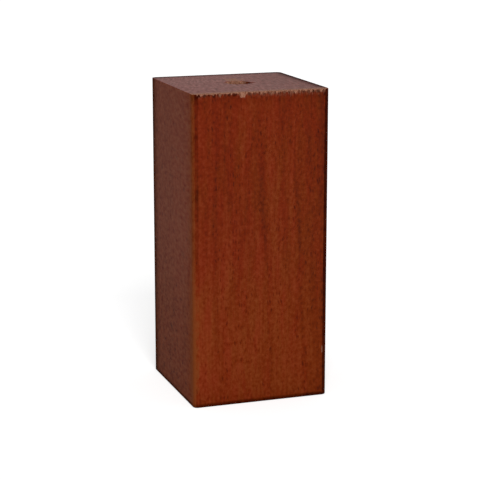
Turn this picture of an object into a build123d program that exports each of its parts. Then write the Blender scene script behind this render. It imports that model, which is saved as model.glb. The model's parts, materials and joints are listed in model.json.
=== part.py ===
from build123d import *
from math import cos, radians, sin, tan
import os

# Square hardwood furniture foot, sawn from one planed length of stock and finished all over.
# Millimetres. The origin is the middle of the face that stands on the floor, +Z is up along the grain,
# and the front face is the one towards -Y.

# The block
SIDE = 45.0
HEIGHT = 100.0
ARRIS_RADIUS = 1.5  # the four long arrises, rounded by the planer
FLOOR_EDGE_RADIUS = 0.3  # the arris round the floor face, eased so that it doesn't splinter

# The pilot bore, drilled down from the mounting face for the fastener that holds the foot
PILOT_DIAMETER = 8.0
PILOT_WALL_LENGTH = 35.0  # the straight wall, above the drill point
DRILL_POINT_ANGLE = 118.0

# Tear-out along the mounting face's front arris, where the saw left the wood. Each row is one splinter gone:
# its place as a share of the way from the middle to the corner, its width and its run down the front face.
FRONT_TEARS = [
    (-0.94, 1.5, 0.9),
    (-0.85, 1.3, 0.6),
    (-0.75, 1.3, 0.9),
    (-0.645, 1.1, 1.6),
    (-0.52, 1.5, 0.5),
    (-0.315, 1.9, 1.8),
    (-0.28, 1.8, 1.7),
    (-0.07, 1.4, 0.7),
    (0.04, 1.5, 0.8),
    (0.155, 1.1, 1.6),
    (0.27, 1.5, 0.8),
    (0.39, 1.4, 0.7),
    (0.525, 1.7, 1.3),
    (0.65, 1.3, 0.6),
    (0.775, 1.5, 1.1),
    (0.93, 1.5, 1.2),
]
FRONT_TEAR_BITE = 0.5  # how far a splinter reaches back into the wood, as a share of its run

# Tear-out round the mouth of the pilot bore: direction in degrees from +X, and reach across the face
RIM_TEARS = [
    (165, 0.8),
    (128, 1.2),
    (98, 1.6),
    (58, 0.9),
    (-14, 1.7),
    (-43, 1.0),
]
RIM_TEAR_SPREAD = 30.0  # degrees of the rim that each one takes
RIM_TEAR_RUN = 0.8  # down the wall of the bore

# One knock on the front-right arris
NICK_HEIGHT = 15.5  # its middle, above the floor
NICK_LENGTH = 3.0
NICK_WIDTH = 0.6
NICK_DEPTH = 0.25

OVERCUT = 1.5  # cutters are this much larger than the notch, so that none ends on a face of the block


def block():
    """The planed and sawn block, with its long arrises and its floor arris rounded."""
    body = Box(SIDE, SIDE, HEIGHT, align=(Align.CENTER, Align.CENTER, Align.MIN))
    body = fillet(body.edges().filter_by(Axis.Z), ARRIS_RADIUS)
    return fillet(body.faces().sort_by(Axis.Z)[0].edges(), FLOOR_EDGE_RADIUS)


def pilot_bore():
    """The drill's track: half its section, turned about Z."""
    radius = PILOT_DIAMETER / 2
    wall_end = HEIGHT - PILOT_WALL_LENGTH
    tip = wall_end - radius / tan(radians(DRILL_POINT_ANGLE / 2))
    above = HEIGHT + OVERCUT
    section = Polyline((0, 0, tip), (radius, 0, wall_end), (radius, 0, above), (0, 0, above), close=True)
    return revolve(make_face(section), Axis.Z)


def notch(lips, root):
    """A splinter's notch: a three-sided wedge between its two lips and the line of its root.

    Growing the wedge about the middle of its root keeps its two walls where they are and carries its open
    sides clear of the block.
    """
    middle = (root[0] + root[1]) / 2
    return ConvexPolyhedron([middle + (corner - middle) * OVERCUT for corner in (*lips, *root)])


def front_tear(share, width, run):
    """The notch of one splinter torn down the front face from the mounting face's arris."""
    place = Vector(share * (SIDE / 2 - ARRIS_RADIUS), -SIDE / 2, HEIGHT)
    lips = (place - Vector(width / 2, 0, 0), place + Vector(width / 2, 0, 0))
    root = (place + Vector(0, run * FRONT_TEAR_BITE, 0), place - Vector(0, 0, run))
    return notch(lips, root)


def rim_point(direction, reach, drop):
    """A point near the bore's mouth, reach outside its wall and drop below the mounting face."""
    radius = PILOT_DIAMETER / 2 + reach
    angle = radians(direction)
    return Vector(radius * cos(angle), radius * sin(angle), HEIGHT - drop)


def rim_tear(direction, reach):
    """The notch of one splinter lifted out of the bore's mouth by the drill."""
    half_spread = RIM_TEAR_SPREAD / 2
    lips = (rim_point(direction - half_spread, 0, 0), rim_point(direction + half_spread, 0, 0))
    root = (rim_point(direction, reach, 0), rim_point(direction, 0, RIM_TEAR_RUN))
    return notch(lips, root)


def nick():
    """The knock: a short notch along the arris, its root running in from the front face."""
    edge = SIDE / 2 - ARRIS_RADIUS
    middle = Vector(edge, -SIDE / 2, NICK_HEIGHT)
    half_length = Vector(0, 0, NICK_LENGTH / 2)
    root = (middle - Vector(NICK_WIDTH / 2, 0, 0), middle + Vector(NICK_WIDTH / 2, NICK_DEPTH, 0))
    return notch((middle + half_length, middle - half_length), root)


def foot_block():
    """The finished foot."""
    tears = [front_tear(*tear) for tear in FRONT_TEARS] + [rim_tear(*tear) for tear in RIM_TEARS]
    return block() - pilot_bore() - tears - nick()


os.makedirs("parts", exist_ok=True)
export_step(foot_block(), "parts/foot_block.step")
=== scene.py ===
import json
import logging
import math
from dataclasses import dataclass, field
from enum import Enum

import bpy
import numpy as np
from mathutils import Matrix, Vector


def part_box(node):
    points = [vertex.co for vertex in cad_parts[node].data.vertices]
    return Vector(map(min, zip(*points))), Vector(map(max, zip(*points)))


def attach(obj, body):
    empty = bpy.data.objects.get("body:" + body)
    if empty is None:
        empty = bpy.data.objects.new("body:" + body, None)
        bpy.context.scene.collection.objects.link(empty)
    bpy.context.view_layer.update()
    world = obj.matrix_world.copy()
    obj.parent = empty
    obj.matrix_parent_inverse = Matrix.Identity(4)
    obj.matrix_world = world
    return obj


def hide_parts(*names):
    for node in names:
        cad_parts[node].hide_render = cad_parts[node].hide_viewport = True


# The square furniture foot: one block of beech with a pilot bore, stained red-brown and lacquered.
# Metres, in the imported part's own frame: +Z up along the grain, the torn top edge towards -Y.

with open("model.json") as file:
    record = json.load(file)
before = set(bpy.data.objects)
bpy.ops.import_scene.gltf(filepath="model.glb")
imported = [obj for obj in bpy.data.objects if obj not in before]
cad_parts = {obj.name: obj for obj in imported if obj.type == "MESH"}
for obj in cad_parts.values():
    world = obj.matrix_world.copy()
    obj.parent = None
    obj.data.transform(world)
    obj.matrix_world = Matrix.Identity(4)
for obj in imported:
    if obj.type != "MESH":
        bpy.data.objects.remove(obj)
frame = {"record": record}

LOG = logging.getLogger("furniture_foot")
MM = 0.001
PIECE_NAME = "lacquered_block"
Array = np.ndarray
Colour = tuple[float, float, float]
Span = tuple[float, float]  # where a soft step starts and where it ends, or the least and the most
WoodPlace = tuple["Value", "Value", "Value"]  # out from the pith, round it and along it, in millimetres
FIRST_PHASE = 1.7  # what keeps a wave's first sine out of step too
NOISE_MEAN = 0.5
WHITE: Colour = (1.0, 1.0, 1.0)


def smoothstep(low: float, high: float, value: Array) -> Array:
    """A soft step: 0 below low, 1 above high, and 3t^2 - 2t^3 of the share t between them.

    Args:
        low: where the step starts.
        high: where it ends.
        value: the numbers to step.

    Returns:
        The stepped numbers, from 0 to 1.
    """
    share = np.clip((value - low) / (high - low), 0.0, 1.0)
    return share * share * (3.0 - 2.0 * share)


def bell(value: Array, width: float | Array) -> Array:
    """A bell: 1 at nought, and e^-1 one width away from it."""
    return np.exp(-((value / width) ** 2))


@dataclass(frozen=True)
class Wave:
    """An uneven wave: low, plus gain times the mean of one sine for each period, all out of step."""

    periods: tuple[float, ...]
    phase: float
    low: float = 0.0
    gain: float = 1.0

    def at(self, place: Array) -> Array:
        """The wave's height at each place.

        Args:
            place: where along the wave, in the units of its periods.

        Returns:
            The height, from low to low plus gain.
        """
        total = np.zeros_like(place)
        for number, period in enumerate(self.periods):
            total += np.sin(2.0 * math.pi * place / period + self.phase * (number + FIRST_PHASE))
        return self.low + self.gain * (0.5 + 0.5 * total / len(self.periods))


@dataclass(frozen=True)
class Fade:
    """A mark that is strongest at nought and falls away from it on both sides, as a bell."""

    strength: float
    width: float

    def at(self, distance: Array) -> Array:
        """The strength at each distance."""
        return self.strength * bell(distance, self.width)


@dataclass(frozen=True)
class Climb:
    """A tone that changes up the block: its value at the bottom, and what the top adds to it."""

    bottom: float
    gain: float

    def at(self, rise: Array) -> Array:
        """The tone where that share of the climb is done."""
        return self.bottom + self.gain * rise


class Mask(Enum):
    """The point attributes that the finish reads, each from 0 to 1 except FIGURE, which is signed."""

    BARE = "bare"  # raw wood, where a splinter is gone and in the bore, and a painted highlight along the mounting face's left edge
    SOAK = "soak"  # dark stain, and painted shade along arrises and edges, at the floor and in the bore
    WEAR = "wear"  # arrises where the stain was rubbed thin
    THIN = "thin"  # the quarter-sawn sides, which took less of the stain
    FIGURE = "figure"  # broad light and dark bands of the grain, and painted shade and light on the sides and at the front's right end
    SAWN = "sawn"  # end grain


@dataclass(frozen=True)
class FrontTear:
    """One splinter torn down the front face, in millimetres; fullness 1 is a sharp V, more is blunter."""

    place: float
    width: float
    run: float
    fullness: float = 1.0


@dataclass(frozen=True)
class RimTear:
    """One splinter lifted out of the bore's mouth: degrees from +X, and millimetres across the face."""

    direction: float
    reach: float


@dataclass(frozen=True)
class Streak:
    """One band of the front face's figure: its middle and half sizes in millimetres, and its tone.

    It leans by this much across for each millimetre down.
    """

    place: float
    height: float
    half_width: float
    half_length: float
    tone: float
    lean: float = 0.05


@dataclass(frozen=True)
class DarkArris:
    """A long arris painted dark, as the shade where its round turns from the light: its side of X and Y, how
    dark, and how far it spreads.

    The spreads are over the flat that faces along X and over the one that faces along Y.
    """

    side_x: float
    side_y: float
    strength: float
    spread_x: float
    spread_y: float


@dataclass
class Outline:
    """The block's section: one column of the mesh stands on each of its points.

    Columns go round the axis against the clock from above, starting at the front face's left end.
    """

    half: float
    radius: float
    front_columns: int = 336
    side_columns: int = 48
    corner_columns: int = 14
    flat_facing: float = 0.999
    x_facing: float = 0.7
    point: Array = field(init=False)
    normal: Array = field(init=False)

    def __post_init__(self) -> None:
        """Works out the points and their outward normals, flat by flat and corner by corner."""
        facings = np.radians([-90.0, 0.0, 90.0, 180.0])
        counts = [self.front_columns, self.side_columns, self.side_columns, self.side_columns]
        bands = [
            band
            for facing, count in zip(facings, counts)
            for band in (self._flat(facing, count), self._corner(facing, self.corner_columns))
        ]
        self.point = np.concatenate([band[0] for band in bands])
        self.normal = np.concatenate([band[1] for band in bands])

    @property
    def reach(self) -> float:
        """How far a flat goes from its middle."""
        return self.half - self.radius

    @property
    def angle(self) -> Array:
        """Each column's direction round the axis from +X, in radians."""
        return np.arctan2(self.point[:, 1], self.point[:, 0])

    @property
    def ray(self) -> Array:
        """Each column's direction round the axis, as a unit vector."""
        return np.stack([np.cos(self.angle), np.sin(self.angle)], axis=1)

    @property
    def is_front(self) -> Array:
        """Whether each column stands on the front flat."""
        return self.normal[:, 1] < -self.flat_facing

    @property
    def faces_x(self) -> Array:
        """Whether each column faces to the left or the right."""
        return np.abs(self.normal[:, 0]) > self.x_facing

    @property
    def from_arris(self) -> Array:
        """How far along its flat each column stands from the nearest arris."""
        return np.clip(self.reach - np.abs(self.point).min(axis=1), 0.0, None)

    @property
    def front_left(self) -> Array:
        """Whether each column stands in the quarter round the front-left arris."""
        return (self.point < 0.0).all(axis=1)

    def faces_left(self, least: float) -> Array:
        """Whether each column faces at least that far to the left, 1 being straight."""
        return self.normal[:, 0] < -least

    def _flat(self, facing: float, count: int) -> tuple[Array, Array]:
        """One flat: points evenly along the tangent, half out along the normal.

        Args:
            facing: the direction that the flat faces, in radians from +X.
            count: how many columns stand on it.

        Returns:
            Its points and normals, without its last end.
        """
        normal = np.array([math.cos(facing), math.sin(facing)])
        tangent = np.array([-normal[1], normal[0]])
        along = np.linspace(-self.reach, self.reach, count, endpoint=False)[:, None]
        return self.half * normal + along * tangent, np.repeat(normal[None], count, axis=0)

    def _corner(self, facing: float, count: int) -> tuple[Array, Array]:
        """One rounded arris: a quarter circle about the corner's centre.

        Args:
            facing: the direction of the flat before it, in radians from +X.
            count: how many columns stand on it.

        Returns:
            Its points and normals, without its last end.
        """
        angle = facing + np.linspace(0.0, math.pi / 2, count, endpoint=False)
        normal = np.stack([np.cos(angle), np.sin(angle)], axis=1)
        middle = facing + math.pi / 4
        centre = self.reach * math.sqrt(2.0) * np.array([math.cos(middle), math.sin(middle)])
        return centre + self.radius * normal, normal


@dataclass
class TornEdge:
    """The front arris of the mounting face, where the saw tore splinters out of the wood.

    The large tears stand where the solid has them. Between them the arris is frayed all along, in fine
    teeth, and it is darker in arches just under it. Lengths are in metres, apart from the
    tears, the teeth and the waves' periods, which are in millimetres.
    """

    reach: float
    bite: float = 0.5
    tear_shows: Span = (0.02 * MM, 0.10 * MM)  # the depths from which raw wood shows, and shows wholly
    teeth: int = 27
    seed: int = 11
    tooth_shift: float = 0.28
    tooth_half_width: Span = (0.26, 0.52)
    tooth_run: Span = (0.15, 0.75)
    tooth_fullness: float = 1.4
    fray_bite: float = 0.12 * MM
    fray_base: Wave = Wave((2.9, 1.7), 0.8, low=0.08 * MM, gain=0.16 * MM)
    fray_shows: float = 0.80
    fray_blur: float = 0.10 * MM
    haze: Climb = Climb(0.29, 0.13)  # pale haze down the face, from the left end to the right
    haze_climb: Span = (-12.0 * MM, 4.0 * MM)
    haze_fall: float = 2.1 * MM
    arch_gap: Span = (0.15 * MM, 0.55 * MM)  # the distances from a tooth where an arch starts and is whole
    arch_reach: float = 0.45 * MM
    arch_more: float = 0.48 * MM
    arch_wave: Wave = Wave((5.3, 3.1), 0.6, low=0.5)
    arch_edge: Span = (-0.20 * MM, 0.40 * MM)
    arch_dark: Climb = Climb(0.22, 0.46)  # from a tooth to the middle between two
    dark_haze: Fade = Fade(0.17, 3.2 * MM)
    tears: tuple[FrontTear, ...] = (
        FrontTear(-19.74, 1.5, 0.9),
        FrontTear(-17.85, 1.3, 0.6),
        FrontTear(-15.75, 1.3, 0.9),
        FrontTear(-13.55, 1.1, 1.6),
        FrontTear(-10.92, 1.5, 0.5),
        FrontTear(-6.62, 1.9, 1.8, 2.2),
        FrontTear(-5.88, 1.8, 1.7, 2.2),
        FrontTear(-1.47, 1.4, 0.7),
        FrontTear(0.84, 1.5, 0.8),
        FrontTear(3.26, 1.1, 1.6),
        FrontTear(5.67, 1.5, 0.8),
        FrontTear(8.19, 1.4, 0.7),
        FrontTear(11.03, 1.7, 1.3),
        FrontTear(13.65, 1.3, 0.6),
        FrontTear(16.28, 1.5, 1.1),
        FrontTear(19.53, 1.5, 1.2),
    )

    def torn_depth(self, place: Array, drop: Array) -> Array:
        """How far the large tears go back into the front face.

        A splinter's notch is a wedge: its depth falls with the distance from its middle, to the power of
        its fullness, and in a straight line with the drop below the arris.

        Args:
            place: along the arris from its middle, in metres.
            drop: down from the arris, in metres.

        Returns:
            The depth, in metres.
        """
        depth = np.zeros(np.broadcast(place, drop).shape)
        for tear in self.tears:
            aside = (np.abs(place - tear.place * MM) / (tear.width * MM / 2)) ** tear.fullness
            share = 1.0 - aside - drop / (tear.run * MM)
            depth = np.maximum(depth, tear.run * MM * self.bite * share)
        return depth

    def fray(self, place: Array) -> tuple[Array, Array]:
        """The fine teeth all along the arris: how far down they go, and how far off the nearest one is.

        Each tooth has its own width and run, and stands on a base that is frayed everywhere.

        Args:
            place: along the arris from its middle, in metres.

        Returns:
            The reach down, and the distance to the nearest tooth's middle, in metres.
        """
        draw = np.random.default_rng(self.seed)
        shift = draw.uniform(-self.tooth_shift, self.tooth_shift, self.teeth) * MM
        middle = np.linspace(-self.reach, self.reach, self.teeth) + shift
        half_width = draw.uniform(*self.tooth_half_width, self.teeth) * MM
        run = draw.uniform(*self.tooth_run, self.teeth) * MM
        off = np.abs(place[..., None] - middle)
        tooth = (run * np.clip(1.0 - (off / half_width) ** self.tooth_fullness, 0.0, None)).max(axis=-1)
        return self.fray_base.at(place / MM) + tooth, off.min(axis=-1)

    def depth(self, place: Array, drop: Array) -> Array:
        """How far back the front face is torn, by tears and fray together. The fray is a straight taper.

        Args:
            place: along the arris from its middle, in metres.
            drop: down from the arris, in metres.

        Returns:
            The depth in metres, 0 past the flat's ends.
        """
        frayed = self.fray_bite * (1.0 - drop / self.fray(place)[0])
        deepest = np.maximum(self.torn_depth(place, drop), frayed)
        return np.where(np.abs(place) < self.reach, np.clip(deepest, 0.0, None), 0.0)

    def bare(self, place: Array, drop: Array) -> Array:
        """Where raw wood shows on the front face: in the tears, down to the fray's reach, and as a haze.

        Args:
            place: along the arris from its middle, in metres.
            drop: down from the arris, in metres.

        Returns:
            The mask.
        """
        torn = smoothstep(*self.tear_shows, self.torn_depth(place, drop))
        frayed = self.fray_shows * smoothstep(-self.fray_blur, self.fray_blur, self.fray(place)[0] - drop)
        haze = self.haze.at(smoothstep(*self.haze_climb, place)) * bell(drop, self.haze_fall)
        return np.maximum(np.maximum(torn, frayed), haze)

    def soaked_and_shaded(self, place: Array, drop: Array) -> Array:
        """Where the front is darker under the fray: one arch between each two teeth, and a haze below.

        An arch reaches further down the further it is from a tooth.

        Args:
            place: along the arris from its middle, in metres.
            drop: down from the arris, in metres.

        Returns:
            The mask.
        """
        between = smoothstep(*self.arch_gap, self.fray(place)[1])
        reach = self.arch_reach + self.arch_more * between * self.arch_wave.at(place / MM)
        arch = 1.0 - smoothstep(*self.arch_edge, drop - reach)
        return arch * self.arch_dark.at(between) + self.dark_haze.at(drop)


@dataclass
class BoreMouth:
    """The pilot bore and the torn rim that the drill left. Angles in degrees from +X, lengths in metres."""

    radius: float
    wall: float
    point_angle: float = 118.0
    spread: float = 30.0
    run: float = 0.8 * MM
    tears: tuple[RimTear, ...] = (
        RimTear(165.0, 0.8),
        RimTear(128.0, 1.2),
        RimTear(98.0, 1.6),
        RimTear(58.0, 0.9),
        RimTear(-14.0, 1.7),
        RimTear(-43.0, 1.0),
    )
    fray: Wave = Wave((360.0 / 37.0, 360.0 / 23.0), 1.0, gain=0.10 * MM)
    fray_reach: float = 0.45 * MM
    pale_direction: float = 128.0
    pale_facing: Span = (-0.55, 0.25)  # cosines of the turn from that direction
    pale_depth: float = 1.4 * MM
    mouth_dark: float = 0.42
    raw_below: Span = (5.0 * MM, 12.0 * MM)
    raw: float = 0.85
    scuff_direction: float = 84.0
    scuff_offset: float = 7.0 * MM
    scuff_length: float = 4.0 * MM
    scuff_width: float = 3.0 * MM
    scuff_strength: float = 1.45
    scuff_strands: Wave = Wave((2.5, 1.6), 2.1, low=0.30, gain=0.90)
    wall_rings: int = 24
    wall_crowding: float = 1.9  # the power by which the rings crowd up to the mouth
    cone_rings: int = 7

    @property
    def point_depth(self) -> float:
        """How far the drill's point went on below the straight wall."""
        return self.radius / math.tan(math.radians(self.point_angle / 2))

    def drop(self, angle: Array, reach: Array) -> Array:
        """How far the mounting face is torn down at a point near the bore.

        Each notch is a wedge: its drop falls with the angle from its middle and the reach from the bore's
        wall. A fine fray runs all round.

        Args:
            angle: round the bore's axis from +X, in radians.
            reach: out from the bore's wall, in metres.

        Returns:
            The drop, in metres.
        """
        drop = np.zeros(np.broadcast(angle, reach).shape)
        for tear in self.tears:
            turn = np.abs((np.degrees(angle) - tear.direction + 180.0) % 360.0 - 180.0)
            share = 1.0 - turn / (self.spread / 2) - reach / (tear.reach * MM)
            drop = np.maximum(drop, self.run * share)
        return np.maximum(drop, self.fray.at(np.degrees(angle)) * (1.0 - reach / self.fray_reach))

    def pale(self, angle: Array) -> Array:
        """How much of the rim's broken wood is still pale: all at the back and left, none at the right.

        Args:
            angle: round the bore's axis from +X, in radians.

        Returns:
            The share.
        """
        return smoothstep(*self.pale_facing, np.cos(angle - math.radians(self.pale_direction)))

    def scuff(self, plane: Array) -> Array:
        """Scratches behind the bore, where the drill skidded: a bell over an oval, uneven across it.

        Args:
            plane: points in plan from the bore's axis, in metres.

        Returns:
            The mask of raw wood there.
        """
        turn = math.radians(self.scuff_direction)
        along = plane[..., 0] * math.cos(turn) + plane[..., 1] * math.sin(turn)
        across = plane[..., 1] * math.cos(turn) - plane[..., 0] * math.sin(turn)
        patch = bell(along - self.scuff_offset, self.scuff_length) * bell(across, self.scuff_width)
        return np.clip(self.scuff_strength * patch * self.scuff_strands.at(across / MM), 0.0, 1.0)

    def inside(self, angle: Array, ray: Array, top: float) -> tuple[Array, Array, dict[Mask, Array]]:
        """The straight wall from its torn mouth down, and the cone that the drill's point left.

        Args:
            angle: each column's direction round the axis, in radians.
            ray: the same, as unit vectors.
            top: the height of the mounting face.

        Returns:
            Points in plan, their heights, and the masks that aren't 0.
        """
        mouth, bottom = top - self.drop(angle, np.zeros(len(angle))), top - self.wall
        shares = (np.linspace(0.0, 1.0, self.wall_rings)[1:] ** self.wall_crowding)[:, None]
        cone = np.linspace(1.0, 0.0, self.cone_rings)[1:-1]
        wall = np.broadcast_to(ray * self.radius, (len(shares), len(angle), 2))
        tip = ray[None] * (self.radius * cone)[:, None, None]
        tip_height = np.repeat((bottom - self.point_depth * (1.0 - cone))[:, None], len(angle), axis=1)
        height = np.concatenate([mouth[None] * (1.0 - shares) + bottom * shares, tip_height])
        depth = top - height
        raw = smoothstep(*self.raw_below, depth)
        bare = np.maximum(self.pale(angle)[None] * bell(depth, self.pale_depth), self.raw * raw)
        soaked_and_shaded = self.mouth_dark * (1.0 - raw)
        return np.concatenate([wall, tip]), height, {Mask.BARE: bare, Mask.SOAK: soaked_and_shaded}


@dataclass(frozen=True)
class GatheredStainAndShade:
    """Darker on the wall: painted contact shade at the floor, painted shade along the arrises that turn from
    the light, and darker up the front-left arris and in its top corner.
    """

    # painted contact shade at the floor: wholly dark below the line, then a haze
    floor_shade_line: Span = (0.6 * MM, 1.5 * MM)
    floor_shade_haze: Fade = Fade(0.14, 4.5 * MM)
    # painted shade along the arrises that turn from the light
    arrises: tuple[DarkArris, ...] = (
        DarkArris(1.0, -1.0, 0.80, 0.60 * MM, 0.12 * MM),
        DarkArris(1.0, 1.0, 0.70, 0.60 * MM, 0.60 * MM),
        DarkArris(-1.0, 1.0, 0.95, 3.40 * MM, 0.60 * MM),
    )
    line: Fade = Fade(0.58, 0.3 * MM)
    line_climb: Span = (30.0 * MM, 62.0 * MM)
    line_wave: Wave = Wave((17.0, 6.3), 1.0, low=0.35, gain=0.5)
    corner: Fade = Fade(0.55, 2.2 * MM)
    corner_width: float = 0.5 * MM

    def mask(self, outline: Outline, heights: Array, drop: Array, torn: Array) -> Array:
        """All the darkening on the wall, much of it painted shade: the larger of what each mark gives, plus
        the front-left arris's.

        Each mark falls away as a bell, and the line up the front-left arris comes in with the height.

        Args:
            outline: the block's section.
            heights: above the floor, in metres.
            drop: below the mounting face, in metres.
            torn: the darkening under the torn edge.

        Returns:
            The mask.
        """
        # painted contact shade: wholly dark up the floor arris, and a haze of shade above it
        foot = 1.0 - smoothstep(*self.floor_shade_line, heights) + self.floor_shade_haze.at(heights)
        gathered_and_shaded = np.zeros(len(outline.point))
        # painted shade along the arrises that turn away from the light
        for arris in self.arrises:
            near = (outline.point[:, 0] * arris.side_x > 0.0) & (outline.point[:, 1] * arris.side_y > 0.0)
            spread = np.where(outline.faces_x, arris.spread_x, arris.spread_y)
            gathered_and_shaded = np.maximum(gathered_and_shaded, arris.strength * bell(outline.from_arris, spread) * near)
        on_round = smoothstep(0.0, outline.radius / 2, outline.half - np.abs(outline.point).max(axis=1))
        upper = smoothstep(*self.line_climb, heights) * self.line_wave.at(heights / MM)
        line = (self.line.at(outline.from_arris) * outline.front_left)[None] * upper
        nearby = on_round + bell(outline.from_arris, self.corner_width)
        corner = self.corner.at(drop) * nearby * outline.front_left
        return np.clip(np.maximum(torn + foot, gathered_and_shaded[None]) + line + corner, 0.0, 1.0)


@dataclass(frozen=True)
class RubbedStain:
    """Wear: a mottled line along the lower half of the front-left arris, and the flat to its left."""

    line_width: float = 0.45 * MM
    line: Climb = Climb(0.30, 0.52)
    line_starts: Span = (1.5 * MM, 6.0 * MM)
    line_ends: Span = (30.0 * MM, 52.0 * MM)
    mottle: Wave = Wave((13.0, 7.1, 4.3), 1.3)
    handled_width: float = 5.5 * MM
    handled: Climb = Climb(0.26, 0.22)
    turned: Fade = Fade(0.30, 2.8 * MM)
    elsewhere: float = 0.12
    leftwards: float = 0.5

    def mask(self, outline: Outline, heights: Array) -> Array:
        """How far the stain is rubbed thin: a bell round each arris, uneven with the height.

        Args:
            outline: the block's section.
            heights: above the floor, in metres.

        Returns:
            The mask.
        """
        from_arris = outline.from_arris[None]
        near = bell(from_arris, self.line_width)
        rubbed = smoothstep(*self.line_starts, heights) * (1.0 - smoothstep(*self.line_ends, heights))
        handled = bell(from_arris, self.handled_width) * self.handled.at(rubbed) + self.turned.at(from_arris)
        uneven = self.mottle.at(heights / MM)
        worn = np.maximum(rubbed * near * self.line.at(uneven), handled * outline.faces_left(self.leftwards))
        return np.where(outline.front_left, worn, self.elsewhere * uneven * near)


@dataclass(frozen=True)
class BlockFigureAndShade:
    """The front face's streaks and the slow change of its tone up the block, and painted shade and light on
    the sides and at the front's right end.
    """

    depth: float = 6.0 * MM  # how far into the wood the streaks go
    level: float = 50.0 * MM  # where a leaning streak stands at its own place
    sway: float = 0.25 * MM
    sway_length: float = 11.0 * MM
    # painted shade and light on the sides: a cosine turn round from the front-left arris, an overall
    # darkening, a darker foot on the left, and light near the front
    side_shade_turn: float = 0.42
    side_shade_tone: float = -0.45
    left_floor_shade: float = -0.45
    leftwards: float = 0.9
    left_floor_shade_climb: Span = (22.0 * MM, 52.0 * MM)
    side_light_by_front: Fade = Fade(0.80, 4.0 * MM)
    front_turn: Span = (0.7, 0.95)  # how far to the front a column faces where the front's tone comes in
    front_climb: Span = (15.0 * MM, 85.0 * MM)
    front: Climb = Climb(0.32, -0.43)
    front_left: Climb = Climb(0.15, -0.40)
    front_left_width: float = 10.0 * MM
    # painted shade towards the front's right end
    front_right_shade: Climb = Climb(-0.76, -0.30)
    front_right_shade_width: float = 8.0 * MM
    streaks: tuple[Streak, ...] = (
        Streak(-20.5, 50.0, 0.9, 60.0, 0.55, 0.0),
        Streak(-17.1, 35.0, 0.6, 40.0, 0.28, 0.0),
        Streak(-15.1, 55.0, 0.8, 38.0, -0.55, 0.0),
        Streak(-12.3, 55.0, 0.8, 30.0, 0.30),
        Streak(-9.0, 24.0, 3.2, 24.0, 0.42, 0.0),
        Streak(-7.2, 42.0, 0.8, 14.0, -0.30, -0.05),
        Streak(-5.8, 82.0, 0.6, 8.0, -0.30),
        Streak(-4.8, 78.0, 0.7, 14.0, 0.40),
        Streak(1.3, 65.0, 0.9, 16.0, -0.75),
        Streak(1.3, 35.0, 0.8, 45.0, -0.35),
        Streak(4.1, 66.0, 0.9, 18.0, 0.45),
        Streak(8.3, 50.0, 0.9, 50.0, -0.28),
        Streak(10.9, 60.0, 0.7, 30.0, 0.45),
        Streak(12.65, 62.0, 0.6, 14.0, -0.60),
        Streak(12.65, 35.0, 0.7, 40.0, -0.30),
        Streak(15.2, 62.0, 0.6, 35.0, 0.30),
        Streak(17.2, 82.0, 0.6, 7.0, -0.35),
        Streak(18.9, 60.0, 0.8, 45.0, 0.35, 0.02),
    )

    def mask(self, outline: Outline, heights: Array) -> Array:
        """The streaks over the front's own tone or the sides', whichever way each column faces.

        The front climbs from one tone to another, and each of its ends adds its own; the right end's is
        painted shade.
        The sides are painted shade and light: they turn with the way round from the front-left arris, as a
        cosine, are lighter near the front, and the left one is darker near the floor.

        Args:
            outline: the block's section.
            heights: above the floor, in metres.

        Returns:
            The tone, from -1, dark, to 1, light.
        """
        x, y, half = outline.point[:, 0][None], outline.point[:, 1][None], outline.half
        round_way = np.abs(x + half) + np.abs(y + half)
        turn = np.cos(math.pi * round_way / (2.0 * half))
        low = outline.faces_left(self.leftwards)[None] * (1.0 - smoothstep(*self.left_floor_shade_climb, heights))
        # painted shade and light on the sides
        sides = self.side_shade_turn * turn + self.left_floor_shade * low + self.side_shade_tone + self.side_light_by_front.at(y + half)
        rise = smoothstep(*self.front_climb, heights)
        front = self.front.at(rise) + self.front_left.at(rise) * bell(x + half, self.front_left_width)
        front = front + self.front_right_shade.at(rise) * bell(x - half, self.front_right_shade_width)
        share = smoothstep(*self.front_turn, -outline.normal[:, 1])[None]
        streaked = self._streaks(x, heights) * bell(y + half, self.depth)
        return np.clip(streaked + share * front + (1.0 - share) * sides, -1.0, 1.0)

    def _streaks(self, x: Array, heights: Array) -> Array:
        """All the streaks together, each a bell across, swaying a little, and a flat-topped bell along.

        The flat-topped bell is e to minus the fourth power of the share of its half length.

        Args:
            x: across the front face from its middle, in metres.
            heights: above the floor, in metres.

        Returns:
            The sum of their tones.
        """
        tone = np.zeros(np.broadcast(x, heights).shape)
        for streak in self.streaks:
            middle = streak.place * MM + streak.lean * (self.level - heights)
            sway = self.sway * np.sin(heights / self.sway_length + streak.place)
            across = bell(x + sway - middle, streak.half_width * MM)
            along = np.exp(-(((heights - streak.height * MM) / (streak.half_length * MM)) ** 4))
            tone = tone + streak.tone * across * along
        return tone


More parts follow.
